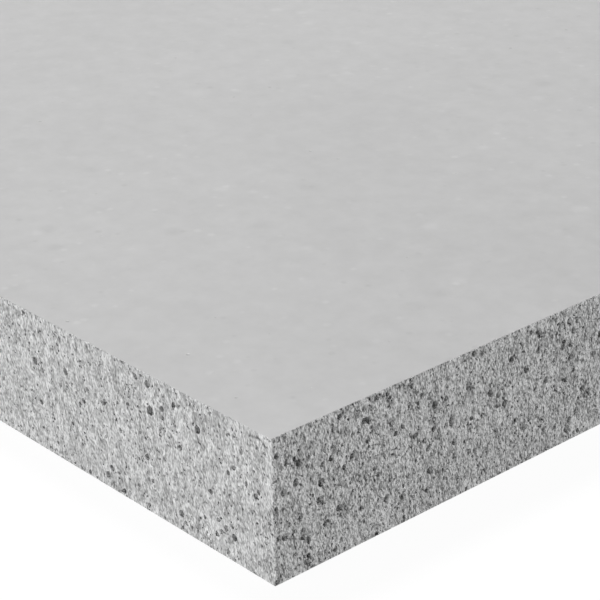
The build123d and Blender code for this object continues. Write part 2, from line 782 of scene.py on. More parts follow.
# Where the larger voids near the corner lie: distance from the upright arris, height and radius, in mm,
# and depth in radii.
NEAR_VOIDS: dict[Side, tuple[tuple[float, float, float, float], ...]] = {
    Side.RIGHT: (
        (21.2, 12.15, 0.31, 1.9), (5.9, 8.7, 0.31, 1.9), (29.75, 6.75, 0.31, 1.9), (18.7, 7.15, 0.36, 1.9),
        (19.7, 8.4, 0.17, 1.4), (14.6, 7.2, 0.24, 1.9), (16.3, 3.55, 0.36, 1.8), (2.3, 10, 0.24, 1.6),
        (32.6, 7.8, 0.31, 1.9), (5.05, 8.45, 0.24, 1.6), (3.45, 1.25, 0.24, 1.7), (26.1, 1.95, 0.17, 1.5),
        (5.95, 1.75, 0.17, 1.5), (2.65, 9.55, 0.31, 1.8), (6.15, 0.6, 0.24, 1.8), (31.85, 2.1, 0.24, 1.3),
        (28.95, 5.6, 0.17, 1.1), (22, 11.95, 0.17, 1.2), (32.55, 1.15, 0.36, 1.5), (1.55, 10, 0.31, 1.5),
        (29.1, 7.2, 0.17, 1.2), (10.7, 5.4, 0.24, 1.4), (30.6, 8.25, 0.24, 0.9), (23.1, 7.95, 0.36, 1.6),
        (6.8, 6.1, 0.17, 0.8), (5.7, 7.3, 0.17, 0.8), (14, 3.3, 0.17, 1.3), (21.4, 3.35, 0.24, 1.4),
        (3.75, 1.8, 0.17, 1.3), (19.4, 1.55, 0.17, 1.2), (20.9, 9.2, 0.24, 1.5), (14.35, 11.7, 0.24, 1.4),
        (2.35, 8, 0.31, 1.6), (10.45, 7, 0.17, 1.1), (14.85, 10.9, 0.17, 1.3), (11.1, 3.95, 0.17, 1),
        (12.25, 3.65, 0.17, 0.8), (3.6, 0.45, 0.17, 1.2), (23.95, 6.55, 0.31, 1.1), (25.6, 5.15, 0.17, 1.1),
        (32.35, 11.15, 0.24, 1.4), (6.65, 4.1, 0.36, 1.5), (14.1, 9.25, 0.17, 1.2), (3.45, 2.75, 0.24, 1.2),
        (1.5, 3.65, 0.17, 0.8), (30, 0.35, 0.24, 1.5), (1.6, 4.6, 0.17, 1.2), (27.3, 8.6, 0.36, 1.7),
        (20.6, 12, 0.17, 1.1), (10.4, 6.05, 0.24, 1.5), (16.85, 9.15, 0.36, 1.4), (29.7, 8.2, 0.17, 0.7),
        (18.7, 0.6, 0.17, 1), (24.05, 7.45, 0.31, 1.4), (35.35, 1.15, 0.17, 1), (34.75, 3.6, 0.31, 1.5),
        (1.35, 12.15, 0.17, 1), (4.85, 7, 0.36, 1.2), (16.05, 1.9, 0.31, 1.6), (24.25, 2.3, 0.17, 1.2),
        (24.8, 9, 0.17, 0.8),
    ),
    Side.FRONT: (
        (8.6, 9.95, 0.3, 1.9), (15.25, 0.55, 0.2, 1.9), (23.4, 6.8, 0.26, 1.9), (12.9, 9.3, 0.2, 1.6),
        (15.15, 2.9, 0.2, 1.7), (11.1, 1.55, 0.3, 1.8), (14.5, 9.3, 0.42, 1.7), (3.5, 10.55, 0.15, 1.2),
        (13.35, 7.95, 0.2, 1.6), (5.1, 7.65, 0.2, 1.7), (7.3, 5.1, 0.26, 1.8), (20.5, 7.85, 0.26, 1.9),
        (15.15, 4.95, 0.26, 1.9), (1.6, 7.4, 0.2, 1.5), (20.6, 1.1, 0.3, 1.4), (30.05, 8.05, 0.3, 1.6),
        (8.15, 2.5, 0.2, 1.4), (6.5, 2.95, 0.2, 1.3), (11.9, 8.05, 0.15, 1.2), (29.2, 1.95, 0.15, 1.2),
        (32.25, 9.3, 0.2, 1.5), (15.45, 5.35, 0.15, 1.4), (8.15, 5.9, 0.15, 1), (29.6, 4.4, 0.26, 1.7),
        (21.7, 7.9, 0.26, 1.4), (25.75, 8.65, 0.3, 1.6), (12.95, 10.05, 0.26, 1.6), (29.15, 7.5, 0.26, 1.4),
        (5.6, 2.6, 0.26, 1.5), (11.7, 10.1, 0.15, 1.2), (3.5, 4, 0.15, 1.1), (17.4, 8.75, 0.2, 1.8),
        (12.75, 4.45, 0.15, 1.2), (2.05, 6.9, 0.26, 1.5), (28.95, 2.35, 0.15, 1.1), (23.15, 0.35, 0.2, 1.3),
        (30.9, 8.8, 0.2, 1.2), (0.75, 11.05, 0.15, 1), (14.6, 3, 0.2, 1.3), (3.9, 9.3, 0.2, 1.2),
        (20.75, 11.2, 0.2, 1.3), (20, 0.4, 0.26, 1.2), (13.75, 4.75, 0.15, 1), (25.2, 4.05, 0.2, 1.2),
        (31.15, 12.05, 0.15, 0.9), (24.2, 5.65, 0.15, 0.8), (1.75, 8.45, 0.2, 1), (23.05, 5.25, 0.2, 1.3),
        (4.8, 3.05, 0.15, 1.1), (7.85, 10.15, 0.15, 1), (6.7, 1.6, 0.2, 1.1), (8.6, 5.4, 0.2, 1.2),
        (4.4, 8.35, 0.2, 1.4), (5.45, 0.65, 0.2, 1.1), (27.05, 2, 0.2, 1.2), (32.6, 12.1, 0.15, 0.9),
        (21.75, 4.95, 0.15, 0.9), (18.55, 6, 0.2, 1.3),
    ),
}

# How many times as thickly an edge's families are sown close to the near corner.
OPENNESS: dict[Side, dict[Family, float]] = {Side.RIGHT: {Family.VOID: 4.5, Family.PORE: 1.35}}


def rectangle(x: float, y: float, height: float) -> list[Vector]:
    """The corners of a level rectangle about the board's middle, from half its length and half its width."""
    return [Vector((a * x, b * y, height)) for a, b in ((-1, -1), (1, -1), (1, 1), (-1, 1))]


@dataclass
class VoidGuides:
    """Plain meshes that say where voids, pores and chips may lie. They are removed once the board is made."""

    size: BoardSize
    face_rim: float = 4 * MM
    ribbon: float = 0.05 * MM
    top: Object = field(init=False)
    sown: Object = field(init=False)
    arris: Object = field(init=False)
    placed: Object = field(init=False)

    def __post_init__(self) -> None:
        """Makes the four guides."""
        face = rectangle(*self.size.outline(self.face_rim), self.size.thickness)
        up = Vector((0.0, 0.0, self.size.thickness))
        edges = [[a, b, b + up, a + up] for a, b in map(self._ends, Side)]
        self.top = self._object("guide_top", [face])
        self.sown = self._object("guide_sown", edges)
        self.arris = self._object("guide_arris", self._arris_quads())
        self.placed = self._placed()

    def _ends(self, side: Side) -> list[Vector]:
        """The two ends of an edge in plan, in the order of its run."""
        x, y = self.size.outline(0.0)
        return [Vector((x * way.x, y * way.y, 0.0)) for way in (side.outward - side.along, side.outward + side.along)]

    def _arris_quads(self) -> list[list[Vector]]:
        """A narrow sloping ribbon along each arris of the face, the back and the corners.

        Returns:
            Each ribbon's four points.
        """
        lid, rise = (Vector((0.0, 0.0, height)) for height in (self.size.thickness, self.ribbon))
        quads = []
        for side in Side:
            a, b = self._ends(side)
            inward, step = -side.outward * self.ribbon, side.along * self.ribbon
            quads.append([a + lid - rise, b + lid - rise, b + lid + inward, a + lid + inward])
            quads.append([a + inward, b + inward, b + rise, a + rise])
            quads.append([b - step, b + inward, b + inward + lid, b - step + lid])
        return quads

    def _placed(self) -> Object:
        """Makes the points of the measured voids, each with its radius, its depth and the way it faces.

        Returns:
            The object that holds them.
        """
        points, radii, depths, facing = [], [], [], []
        near = self.size.near_corner(0.0)
        for side, voids in NEAR_VOIDS.items():
            run = side.along if side is Side.RIGHT else -side.along
            for along, height, radius, depth in voids:
                points.append(near + run * along * MM + Vector((0.0, 0.0, height * MM)))
                radii.append(radius * MM)
                depths.append(depth)
                facing.extend(side.outward)
        mesh = bpy.data.meshes.new("guide_placed")
        mesh.from_pydata(points, [], [])
        write_value(mesh, "radius", radii)
        write_value(mesh, "depth", depths)
        mesh.attributes.new("facing", "FLOAT_VECTOR", "POINT").data.foreach_set("vector", facing)
        return add_object("guide_placed", mesh)

    @staticmethod
    def _object(name: str, quads: list[list[Vector]]) -> Object:
        """Makes an object of loose quads.

        Args:
            name: the object's name.
            quads: each quad's four points.

        Returns:
            The object.
        """
        mesh = bpy.data.meshes.new(name)
        corners = [tuple(range(4 * i, 4 * i + 4)) for i in range(len(quads))]
        mesh.from_pydata([point for quad in quads for point in quad], [], corners)
        return add_object(name, mesh)

    def remove(self) -> None:
        """Takes the guides out of the scene."""
        for guide in (self.top, self.sown, self.arris, self.placed):
            bpy.data.objects.remove(guide)


class CutTree:
    """Geometry Nodes that cut sown balls out of a piece. Each kind of tree joins its own parts.

    A ball is drawn between the slimmest and the widest shape, and its surface wanders by the bumps' share of
    its radius. The crowding is the power that makes small balls commoner than large ones.
    """

    name: str
    families: tuple[Family, ...]
    common: dict[str, str] = {
        "Geometry": "Geometry", "Sown Area": "Object", "Corner": "Vector", "Reach": "Float", "Fade": "Float",
        "Box Low": "Vector", "Box High": "Vector", "Core Low": "Float", "Core High": "Float", "Core": "Material",
        "Face": "Material", "Seed": "Int",
    }
    own: dict[str, str] = {}
    slimmest = (0.85, 0.75, 0.75)
    widest = (1.2, 1.1, 1.2)
    bumps = 0.5
    crowding = 1.5
    turn_seed = 8

    def __init__(self) -> None:
        """Builds the tree with its named inputs."""
        self.tree = bpy.data.node_groups.new(self.name, "GeometryNodeTree")
        self.g = Graph(self.tree)
        sown = {f"{family.title} {end}": "Float" for family in self.families
                for end in ("Close", "Far", "Smallest", "Largest")}
        for name, kind in (self.common | self.own | sown).items():
            self.tree.interface.new_socket(name, in_out="INPUT", socket_type="NodeSocket" + kind)
        self.tree.interface.new_socket("Geometry", in_out="OUTPUT", socket_type="NodeSocketGeometry")
        self.given = self.g.node("NodeGroupInput").outputs
        self._build()

    def _build(self) -> None:
        """Joins the parts of the tree."""
        raise NotImplementedError

    def cut(self, piece: Object, values: dict[str, Any]) -> Mesh:
        """Runs the tree on a piece and gives it the result as a plain mesh.

        Args:
            piece: the piece, with its plain mesh.
            values: what to set the tree's named inputs to.

        Returns:
            The new mesh.
        """
        modifier = piece.modifiers.new("cut", "NODES")
        modifier.node_group = self.tree
        for item in self.tree.interface.items_tree:
            if item.in_out == "INPUT" and item.name in values:
                modifier[item.identifier] = values[item.name]
        graph = bpy.context.evaluated_depsgraph_get()
        mesh = bpy.data.meshes.new_from_object(piece.evaluated_get(graph), depsgraph=graph)
        piece.modifiers.clear()
        piece.data = mesh
        mesh.name = piece.name
        return mesh

    def remove(self) -> None:
        """Takes the tree out of the file."""
        bpy.data.node_groups.remove(self.tree)

    def _dress(self, cut: NodeSocket, face: NodeSocket) -> None:
        """Ends the tree: the core's material all over, and the face's on the polygons picked.

        Args:
            cut: the cut mesh.
            face: picks the polygons that take the face's material.
        """
        g = self.g
        made = g.node("GeometryNodeRealizeInstances", None, {"Geometry": cut}).outputs[0]
        made = g.node("GeometryNodeTriangulate", None, {"Mesh": made}).outputs[0]
        for picked, material in ((True, "Core"), (face, "Face")):
            made = g.node("GeometryNodeSetMaterial", None, {
                "Geometry": made, "Selection": picked, "Material": self.given[material]}).outputs[0]
        g.feed(g.node("NodeGroupOutput").inputs[0], made)

    def _in_skin(self) -> NodeSocket:
        """Picks what lies above the core or below it.

        Returns:
            1 there, and 0 elsewhere.
        """
        height = self.g.parts(self.g.here())["Z"]
        high = self.g.math("GREATER_THAN", height, self.given["Core High"])
        return self.g.math("MAXIMUM", high, self.g.math("LESS_THAN", height, self.given["Core Low"]))

    def _room(self) -> NodeSocket:
        """How far a point lies inside the piece's box, which is widened by a millimetre.

        Returns:
            The distance to the nearest side, less than 0 outside the box.
        """
        g, given, wide = self.g, self.given, (MM, MM, MM)
        low = g.vector("SUBTRACT", g.here(), g.vector("SUBTRACT", given["Box Low"], wide))
        high = g.vector("SUBTRACT", g.vector("ADD", given["Box High"], wide), g.here())
        room = g.parts(g.vector("MINIMUM", low, high))
        return g.math("MINIMUM", room["X"], g.math("MINIMUM", room["Y"], room["Z"]))

    def _guide(self, name: str) -> NodeSocket:
        """The mesh of the guide that a named input holds."""
        setup = {"transform_space": "ORIGINAL"}
        return self.g.node("GeometryNodeObjectInfo", setup, {"Object": self.given[name]}).outputs["Geometry"]

    def _sow(self, area: str, family: Family) -> tuple[NodeSocket, NodeSocket]:
        """Sows points on a guide, thick near the corner and thin elsewhere, and drops those off this piece.

        Args:
            area: the input that holds the guide.
            family: the family whose densities are used.

        Returns:
            The points, and the way each one faces.
        """
        g, given = self.g, self.given
        close, far = (given[f"{family.title} {end}"] for end in ("Close", "Far"))
        most = g.math("MAXIMUM", close, far)
        seed = g.math("ADD", given["Seed"], float(family.value.step))
        sown = g.node("GeometryNodeDistributePointsOnFaces", None, {
            "Mesh": self._guide(area), "Density": most, "Seed": seed})
        facing = g.node("GeometryNodeCaptureAttribute", {"domain": "POINT"}, {"Geometry": sown.outputs["Points"]})
        facing.capture_items.new("ROTATION", "Rotation")
        g.feed(facing.inputs["Rotation"], sown.outputs["Rotation"])
        gap = g.vector("DISTANCE", g.here(), given["Corner"])
        spread = g.fit(gap, given["Reach"], g.math("ADD", given["Reach"], given["Fade"]), ease=Ease.SMOOTH)
        wanted = g.math("ADD", close, g.math("MULTIPLY", g.math("SUBTRACT", far, close), spread))
        thin = g.math("GREATER_THAN", g.draw(g.math("ADD", seed, 1.0)), g.math("DIVIDE", wanted, most))
        outside = g.math("LESS_THAN", self._room(), 0.0)
        kept = g.node("GeometryNodeDeleteGeometry", {"domain": "POINT"}, {
            "Geometry": facing.outputs["Geometry"], "Selection": g.math("MAXIMUM", thin, outside)})
        return kept.outputs[0], facing.outputs["Rotation"]

    def _lump(self, level: int, bumpy: float, shift: float) -> NodeSocket:
        """Makes one unit ball with an uneven surface.

        Args:
            level: how finely it is divided.
            bumpy: how far its surface wanders, as a share of its radius.
            shift: sets one ball's bumps apart from another's.

        Returns:
            The ball.
        """
        g = self.g
        ball = g.node("GeometryNodeMeshIcoSphere", None, {"Radius": 1.0, "Subdivisions": level}).outputs[0]
        waves = g.noise(g.vector("ADD", g.here(), (shift, shift, shift)), 1.3, 1.0, 0.5)
        swell = g.math("MULTIPLY", g.math("SUBTRACT", waves, 0.5), bumpy)
        return g.node("GeometryNodeSetPosition", None, {
            "Geometry": ball, "Offset": g.vector("SCALE", g.here(), swell)}).outputs[0]

    def _turned(self, facing: NodeSocket) -> NodeSocket:
        """Turns each point about the way it faces, by a random angle.

        Args:
            facing: the way each point faces.

        Returns:
            The points' rotations.
        """
        spin = self.g.node("FunctionNodeAxisAngleToRotation", None, {
            "Axis": (0.0, 0.0, 1.0), "Angle": self.g.draw(self.turn_seed, math.tau)})
        return self.g.node("FunctionNodeRotateRotation", {"rotation_space": "LOCAL"}, {
            "Rotation": facing, "Rotate By": spin.outputs[0]}).outputs[0]

    def _cutters(self, area: str, family: Family) -> NodeSocket:
        """Sows balls on a guide, square to the surface and with no undercut.

        Args:
            area: the input that holds the guide.
            family: the family that is sown.

        Returns:
            The balls.
        """
        g, ball = self.g, family.value
        points, facing = self._sow(area, family)
        smallest, largest = (self.given[f"{family.title} {end}"] for end in ("Smallest", "Largest"))
        draw = g.math("POWER", g.draw(ball.step), self.crowding)
        radius = g.math("MULTIPLY_ADD", draw, g.math("SUBTRACT", largest, smallest), smallest)
        low, high = ((x, y, z * ball.depth) for x, y, z in (self.slimmest, self.widest))
        shape = g.draw_shape(low, high, ball.step + 1)
        balls = g.node("GeometryNodeInstanceOnPoints", None, {
            "Points": points, "Instance": self._lump(ball.level, self.bumps, float(ball.level)),
            "Rotation": self._turned(facing), "Scale": g.vector("SCALE", shape, radius)}).outputs[0]
        if not ball.lift:
            return balls
        return g.node("GeometryNodeTranslateInstances", None, {
            "Instances": balls, "Translation": (0.0, 0.0, ball.lift), "Local Space": True}).outputs[0]


class VoidTree(CutTree):
    """The Geometry Nodes that cut voids, pores, cells and chips out of a bar."""

    name = "voids_in_core"
    families = (Family.VOID, Family.PORE, Family.CELL, Family.CHIP)
    own = {"Arris Area": "Object", "Placed Voids": "Object", "Outward": "Vector", "Crumb Depth": "Float"}
    placed_shapes = ((0.95, 0.9, 1.0), (1.2, 1.15, 1.0))
    placed_seed = 9
    crumbs_per_mm = 1.2
    level_normal = 0.95

    def _build(self) -> None:
        """Joins the parts of the tree."""
        g = self.g
        inside = [self._cutters("Sown Area", family) for family in (Family.VOID, Family.PORE, Family.CELL)]
        inside.append(self._placed_cutters())
        joined = g.node("GeometryNodeJoinGeometry", None, {"Geometry": inside}).outputs[0]
        kept = g.boolean("INTERSECT", [g.boolean("UNION", joined), self._core_block()])
        bitten = g.boolean("DIFFERENCE", kept, self._crumbled())
        chipped = g.boolean("DIFFERENCE", self._cutters("Arris Area", Family.CHIP), bitten)
        steep = g.math("ABSOLUTE", g.parts(g.node("GeometryNodeInputNormal").outputs[0])["Z"])
        level = g.math("GREATER_THAN", steep, self.level_normal)
        self._dress(chipped, g.math("MULTIPLY", level, self._in_skin()))

    def _core_block(self) -> NodeSocket:
        """Makes the block that voids stay within, wide of the bar's sides and short of its face and back.

        Returns:
            The block.
        """
        g, given = self.g, self.given
        span = g.vector("SUBTRACT", given["Box High"], given["Box Low"])
        span = g.parts(g.vector("ADD", span, (10 * MM, 10 * MM, 0.0)))
        middle = g.parts(g.vector("SCALE", g.vector("ADD", given["Box High"], given["Box Low"]), 0.5))
        tall = g.math("SUBTRACT", given["Core High"], given["Core Low"])
        level = g.math("MULTIPLY", g.math("ADD", given["Core High"], given["Core Low"]), 0.5)
        block = g.node("GeometryNodeMeshCube", None, {"Size": g.join(span["X"], span["Y"], tall)}).outputs["Mesh"]
        return g.node("GeometryNodeTransform", None, {
            "Geometry": block, "Translation": g.join(middle["X"], middle["Y"], level)}).outputs[0]

    def _crumbled(self) -> NodeSocket:
        """Sinks the sawn face in crumbs, as deep as the bar's own "crumb" attribute allows.

        Returns:
            The bar's mesh, sunk.
        """
        g, given = self.g, self.given
        waves = g.noise(g.vector("SCALE", g.here(), 1 / MM), self.crumbs_per_mm)
        sunk = g.math("MULTIPLY", g.fit(waves, 0.3, 0.7), g.named("crumb"))
        sunk = g.math("MULTIPLY", sunk, g.math("MULTIPLY", given["Crumb Depth"], -1.0))
        return g.node("GeometryNodeSetPosition", None, {
            "Geometry": given["Geometry"], "Offset": g.vector("SCALE", given["Outward"], sunk)}).outputs[0]

    def _placed_cutters(self) -> NodeSocket:
        """Puts a finer ball on each measured void that is near this bar.

        Returns:
            The balls.
        """
        g = self.g
        way = g.named("facing", "FLOAT_VECTOR")
        facing = g.node("FunctionNodeAlignRotationToVector", {"axis": "Z"}, {"Vector": way}).outputs[0]
        shape = g.draw_shape(*self.placed_shapes, self.placed_seed)
        shape = g.vector("MULTIPLY", shape, g.join(1.0, 1.0, g.named("depth")))
        return g.node("GeometryNodeInstanceOnPoints", None, {
            "Points": self._guide("Placed Voids"), "Instance": self._lump(3, 0.55, 7.0),
            "Selection": g.math("GREATER_THAN", self._room(), 0.0), "Rotation": self._turned(facing),
            "Scale": g.vector("SCALE", shape, g.named("radius"))}).outputs[0]


class PinholeTree(CutTree):
    """The Geometry Nodes that cut pinholes out of the face."""

    name = "pinholes_in_face"
    families = (Family.PINHOLE,)

    def _build(self) -> None:
        """Joins the parts of the tree."""
        cutters = self._cutters("Sown Area", Family.PINHOLE)
        self._dress(self.g.boolean("DIFFERENCE", cutters, self.given["Geometry"]), self._in_skin())


@dataclass
class Piece:
    """One mesh of the board. Each kind makes its plain mesh, and finishes it once its voids are cut."""

    size: BoardSize
    plan: VoidPlan
    core: Material
    face: Material

    def build(self, tree: CutTree, guides: VoidGuides) -> Object:
        """Makes the piece, cuts its voids and lays out its map.

        Args:
            tree: the Geometry Nodes that cut.
            guides: where the cuts may lie.

        Returns:
            The finished piece.
        """
        made = add_object(self.name, self._base())
        dressed = {"Core": self.core, "Face": self.face, "Seed": SEED}
        self._finish(tree.cut(made, self._values(guides) | dressed))
        return made

    @property
    def name(self) -> str:
        """The piece's name."""
        raise NotImplementedError

    def _base(self) -> Mesh:
        """Makes the plain piece as a closed mesh."""
        raise NotImplementedError

    def _values(self, guides: VoidGuides) -> dict[str, Any]:
        """What the tree's inputs are set to, for this piece."""
        raise NotImplementedError

    def _finish(self, mesh: Mesh) -> None:
        """Shades the cut mesh and lays it out."""
        raise NotImplementedError


@dataclass(frozen=True)
class MapRow:
    """One strip of an edge on the bake map: where on the edge it starts, its scale and its level."""

    start: float
    scale: float
    level: float


@dataclass(frozen=True)
class EdgeMap:
    """The measures of an edge's bake map: metres of board within a strip, and shares of the map.

    A strip holds the sawn edge from its foot up, with the back below it and the face above it at some gap, both
    squashed. The polygons that lie against the next piece share a thin band at the top of the map, dark because
    the core's painted shade darkens their deep points.
    """

    floor: float = 0.002
    ceiling: float = 0.985
    spare: float = 3.0 * MM
    margin: float = 1.0 * MM
    foot: float = 1.25 * MM
    gap: float = 0.25 * MM
    squash: float = 0.25
    dark_start: float = 0.01
    dark_width: float = 0.98
    dark: float = 0.988
    dark_rise: float = 0.008
    dark_depth: float = 0.002


@dataclass
class EdgeBar(Piece):
    """One sawn edge of the board: a mitred bar with its arrises blunted and its voids cut.

    Next to the near corner it is divided into cells of fine columns and rows. Crumbs sink that stretch. They
    reach their full depth a rim's width from the arris, a rise beyond a gap from the corner, and a fall short
    of the stretch's end.
    """

    side: Side
    rows: int
    more: dict[Family, float]
    layout: EdgeMap = EdgeMap()
    close_run: float = 60.0 * MM
    crumb_run: float = 40.0 * MM
    cell: float = 4.0 * MM
    far_cell: float = 6.0 * MM
    fine: int = 20
    tiers: int = 4
    tier_steps: int = 15
    crumb_rim: float = 0.5 * MM
    crumb_gap: float = 0.15 * MM
    crumb_rise: float = 0.8 * MM
    crumb_fall: float = 3.0 * MM
    deepest: float = 2 * MM

    @property
    def name(self) -> str:
        """The piece's name."""
        return "sawn_edge_" + self.side.name.lower()

    @property
    def run(self) -> float:
        """The edge's length."""
        return self.size.length if self.side.is_long else self.size.width

    @property
    def reach(self) -> float:
        """How far the edge's outer plane is from the board's middle."""
        return (self.size.width if self.side.is_long else self.size.length) / 2

    @property
    def near_start(self) -> bool:
        """Whether the edge's run begins at the near corner."""
        return self.side is Side.RIGHT

    @property
    def near_end(self) -> bool:
        """Whether the edge's run stops at the near corner."""
        return self.side is Side.FRONT

    @property
    def is_near(self) -> bool:
        """Whether the edge meets the near corner."""
        return self.near_start or self.near_end

    def _place(self, across: float, inset: float, height: float) -> Vector:
        """A point of the board.

        Args:
            across: the distance along the edge's run, from its start.
            inset: the distance in from the edge's outer plane.
            height: the height above the underside.

        Returns:
            The point in the CAD frame.
        """
        flat = self.side.along * (across - self.run / 2) + self.side.outward * (self.reach - inset)
        return Vector((flat.x, flat.y, height))

    def _plan_of(self, points: np.ndarray) -> tuple[np.ndarray, np.ndarray]:
        """How far along the edge's run and how far in from its plane each point lies."""
        run = points @ np.array(self.side.along) + self.run / 2
        return run, self.reach - points @ np.array(self.side.outward)

    def _levels(self) -> tuple[list[tuple[float, float]], list[int]]:
        """The bar's outer profile from the back up to the face.

        Returns:
            Pairs of height and inset, and the numbers of the pairs that the plain stretches use.
        """
        r, top, steps = self.size.arris, self.size.thickness, ROUND_STEPS
        turns = [math.pi / 2 * i / steps for i in range(steps + 1)]
        low = [(r * (1 - math.cos(t)), r * (1 - math.sin(t))) for t in turns]
        count = self.tiers * self.tier_steps
        wall = [(r + (top - 2 * r) * i / count, 0.0) for i in range(1, count)]
        levels = low + wall + [(top - h, i) for h, i in reversed(low)]
        plain = list(range(steps + 1)) + [steps + self.tier_steps * i for i in range(1, self.tiers)]
        return levels, plain + [len(levels) - 1 - i for i in reversed(range(steps + 1))]

    def _columns(self) -> tuple[list[float], list[int]]:
        """Where the bar is divided along its run, between the rounded corners.

        Returns:
            The distances along the run, and the numbers of those where a cell begins or ends.
        """
        corner, fine = self.size.corner, self.fine
        start = self.crumb_run if self.is_near else corner
        count = round((self.run - corner - start) / self.far_cell)
        far = [start + (self.run - corner - start) * i / count for i in range(count + 1)]
        if not self.is_near:
            return far, list(range(len(far)))
        cells = round(self.crumb_run / self.cell)
        near = [corner + (self.cell - corner) * i / fine for i in range(fine)]
        near += [self.cell * k + self.cell * i / fine for k in range(1, cells) for i in range(fine)]
        columns = near + far
        marks = [fine * k for k in range(cells)] + [len(near) + i for i in range(len(far))]
        if self.near_end:
            columns = [self.run - c for c in reversed(columns)]
            marks = [len(columns) - 1 - m for m in reversed(marks)]
        return columns, marks

    def _ring(self, inset: float, columns: list[float]) -> list[tuple[float, float]]:
        """The bar's outer line in plan, mitre to mitre.

        Args:
            inset: how far in the line lies.
            columns: where it is divided between the rounded corners.

        Returns:
            Pairs of run and inset.
        """
        corner = self.size.corner
        round_off = corner - inset
        turns = [math.pi / 4 * (1 + i / ROUND_STEPS) for i in range(ROUND_STEPS)]
        start = [(corner - round_off * math.cos(t), corner - round_off * math.sin(t)) for t in turns]
        return start + [(c, inset) for c in columns] + [(self.run - a, i) for a, i in reversed(start)]

    def _fine_columns(self, marks: list[int], count: int) -> set[int]:
        """The numbers of the columns that are divided finely.

        Args:
            marks: the numbers of the columns where a cell begins or ends.
            count: how many columns there are.

        Returns:
            Those of the cells next to the near corner, and of its rounding.
        """
        made: set[int] = set()
        for a, b in zip(marks, marks[1:]):
            if b - a > 1:
                made.update(range(a, b + 1))
        if self.near_start:
            made.update(range(ROUND_STEPS + 1))
        if self.near_end:
            made.update(range(count - ROUND_STEPS - 1, count))
        return made

    def _base(self) -> Mesh:
        """Makes the plain bar as a closed mesh, finely divided next to the near corner only.

        Returns:
            The mesh.
        """
        levels, plain = self._levels()
        columns, marks = self._columns()
        rings = [self._ring(inset, columns) for _, inset in levels]
        count, top = len(rings[0]), len(levels) - 1
        marks = [mark + ROUND_STEPS for mark in marks]
        fine = self._fine_columns(marks, count)
        stops = [0, *marks, count - 1]
        inner = [min(max(rings[len(levels) // 2][j][0], BAR_DEPTH), self.run - BAR_DEPTH) for j in stops]
        inner_at = sorted(set(inner))
        points: list[Vector] = []
        index: dict[tuple[int, int], int] = {}
        for j in range(count):
            for k in (range(top + 1) if j in fine else plain):
                index[k, j] = len(points)
                points.append(self._place(*rings[k][j], levels[k][0]))
        back = len(points)
        points += [self._place(a, BAR_DEPTH, h) for a in inner_at for h in (0.0, self.size.thickness)]

        faces: list[list[int]] = []
        for j in range(count - 1):
            rows = range(top + 1) if j in fine and j + 1 in fine else plain
            for low, high in zip(rows, rows[1:]):
                here, there = ([index[k, i] for k in range(low, high + 1) if (k, i) in index] for i in (j, j + 1))
                faces.append(here[::-1] + there)
        for a, b, i, i_next in zip(stops, stops[1:], inner, inner[1:]):
            lead, trail = (back + 2 * inner_at.index(at) for at in (i, i_next))
            ends = [trail] if lead == trail else [trail, lead]
            faces.append([index[0, j] for j in range(a, b + 1)] + ends)
            faces.append([index[top, j] for j in range(a, b + 1)] + [e + 1 for e in ends])
        faces += [[n, n + 1, n + 3, n + 2] for n in range(back, len(points) - 2, 2)]
        for j, n in ((0, back), (count - 1, len(points) - 2)):
            faces.append([index[k, j] for k in range(top + 1) if (k, j) in index] + [n + 1, n])
        return self._closed(points, faces)

    def _closed(self, points: list[Vector], faces: list[list[int]]) -> Mesh:
        """Makes the mesh, with its materials and its crumb values, and turns its faces outwards.

        Args:
            points: its points.
            faces: the numbers of each face's points.

        Returns:
            The mesh.
        """
        mesh = bpy.data.meshes.new(self.name + "_base")
        mesh.from_pydata(points, [], faces)
        mesh.materials.append(self.core)
        mesh.materials.append(self.face)
        self._mark_crumbs(mesh)
        work = bmesh.new()
        work.from_mesh(mesh)
        bmesh.ops.recalc_face_normals(work, faces=work.faces)
        work.to_mesh(mesh)
        work.free()
        return mesh

    def _mark_crumbs(self, mesh: Mesh) -> None:
        """Writes how freely each point may sink: fully on the near stretch, and not at all at its rims.

        Args:
            mesh: the plain bar's mesh.
        """
        points = read_points(mesh)
        run, inset = self._plan_of(points)
        if self.near_end:
            run = self.run - run
        free = np.zeros(len(points))
        if self.is_near:
            rim = np.minimum(points[:, 2], self.size.thickness - points[:, 2])
            free = np.clip((rim - self.size.arris) / self.crumb_rim, 0.0, 1.0)
            free *= np.clip((run - self.crumb_gap) / self.crumb_rise, 0.0, 1.0)
            free *= np.clip((self.crumb_run - self.cell / self.fine - run) / self.crumb_fall, 0.0, 1.0)
            free *= inset < TOUCH / 2
        write_value(mesh, "crumb", free)

    def _values(self, guides: VoidGuides) -> dict[str, Any]:
        """What the tree's inputs are set to, for this bar.

        Args:
            guides: where the cuts may lie.

        Returns:
            The values by the names of the inputs.
        """
        top, skin = self.size.thickness, self.plan.skin
        ends = [self._place(0.0, 0.0, 0.0), self._place(self.run, BAR_DEPTH, top)]
        low, high = (tuple(pick(end[i] for end in ends) for i in range(3)) for pick in (min, max))
        return self.plan.values(VoidTree.families, self.more) | {
            "Sown Area": guides.sown, "Arris Area": guides.arris, "Placed Voids": guides.placed,
            "Corner": tuple(self.size.near_corner(top / 2)), "Box Low": low, "Box High": high,
            "Core Low": skin, "Core High": top - skin, "Outward": tuple(self.side.outward),
            "Crumb Depth": self.plan.crumb,
        }

